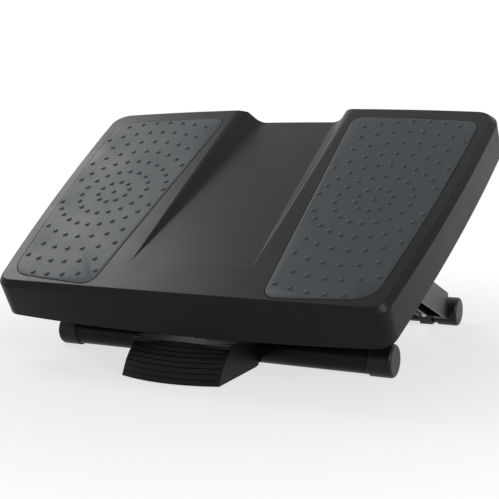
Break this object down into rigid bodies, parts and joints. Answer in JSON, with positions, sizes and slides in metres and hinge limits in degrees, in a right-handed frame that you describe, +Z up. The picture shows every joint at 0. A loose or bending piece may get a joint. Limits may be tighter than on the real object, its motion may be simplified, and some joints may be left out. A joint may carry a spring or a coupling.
{
  "type": "tilting under desk footrest",
  "caption": "Tilting under desk footrest: bumped foot pads on a moulded platform that rocks on an axle between side arms on floor tubes, with a front tilt pedal.",
  "frame": {"origin": "on the floor at the middle of the footrest's footprint", "axes": "+X to the right, along the floor tubes; +Y to the rear, away from the user; +Z up"},
  "size_m": [0.4612, 0.347, 0.2378],
  "materials": {
    "platform_plastic": "fine-grained matt, charcoal",
    "pad_rubber": "soft matt, slate grey",
    "cap_rubber": "matt black",
    "arm_plastic": "fine-grained matt, near black",
    "pedal_plastic": "satin, near black",
    "tube_steel": "satin black powder coat",
    "inner_plastic": "matt, dark grey",
    "bush_plastic": "matt, natural",
    "shoe_rubber": "matt black",
    "bright_steel": "zinc plated",
    "spring_steel": "plain spring wire"
  },
  "bodies": {
    "base": {"front_tube": "tube_steel", "front_right_cap": "cap_rubber", "front_left_cap": "cap_rubber", "rear_tube": "tube_steel", "rear_right_cap": "cap_rubber", "rear_left_cap": "cap_rubber", "right_side_arm": "arm_plastic", "left_side_arm": "arm_plastic", "arm_screws": "bright_steel", "pivot_axle": "bright_steel", "right_axle_spacer": "bush_plastic", "left_axle_spacer": "bush_plastic", "stop_pins": "bright_steel", "lever_bracket": "inner_plastic", "lever_pin": "bright_steel"},
    "platform": {"platform_shell": "platform_plastic", "right_foot_pad": "pad_rubber", "left_foot_pad": "pad_rubber", "right_pivot_bracket": "inner_plastic", "left_pivot_bracket": "inner_plastic", "right_pivot_bush": "bush_plastic", "left_pivot_bush": "bush_plastic", "bracket_screws": "bright_steel", "brake_disc": "inner_plastic", "disc_screws": "bright_steel"},
    "pedal": {"pedal": "pedal_plastic", "pedal_link_pin": "bright_steel"},
    "brake_lever": {"brake_lever": "inner_plastic", "brake_shoe": "shoe_rubber", "lever_link_pin": "bright_steel", "right_lever_spring": "spring_steel", "left_lever_spring": "spring_steel"},
    "link": {"link_rod": "inner_plastic"}
  },
  "joints": [
    {"name": "platform_tilt", "type": "hinge", "parent": "base", "child": "platform", "pos_m": [0, 0.0211, 0.072], "axis": [1, 0, 0], "range_deg": [-30, 0]},
    {"name": "pedal_lift", "type": "hinge", "parent": "base", "child": "pedal", "pos_m": [0, -0.0715, 0.0151], "axis": [-1, 0, 0], "range_deg": [0, 3.5], "stiffness_Nm_per_rad": 1, "springref_deg": -17.19},
    {"name": "lever_swing", "type": "hinge", "parent": "base", "child": "brake_lever", "pos_m": [0, -0.02294, 0.03783], "axis": [1, 0, 0], "range_deg": [0, 5.5], "deforming": ["right_lever_spring", "left_lever_spring"]},
    {"name": "link_swing", "type": "hinge", "parent": "pedal", "child": "link", "pos_m": [0, -0.0575, 0.0361], "axis": [1, 0, 0], "range_deg": [0, 5]}
  ],
  "couplings": [
    {"joint": "lever_swing", "follows": "pedal_lift", "ratio": 1.5327},
    {"joint": "link_swing", "follows": "pedal_lift", "ratio": 1.405}
  ]
}
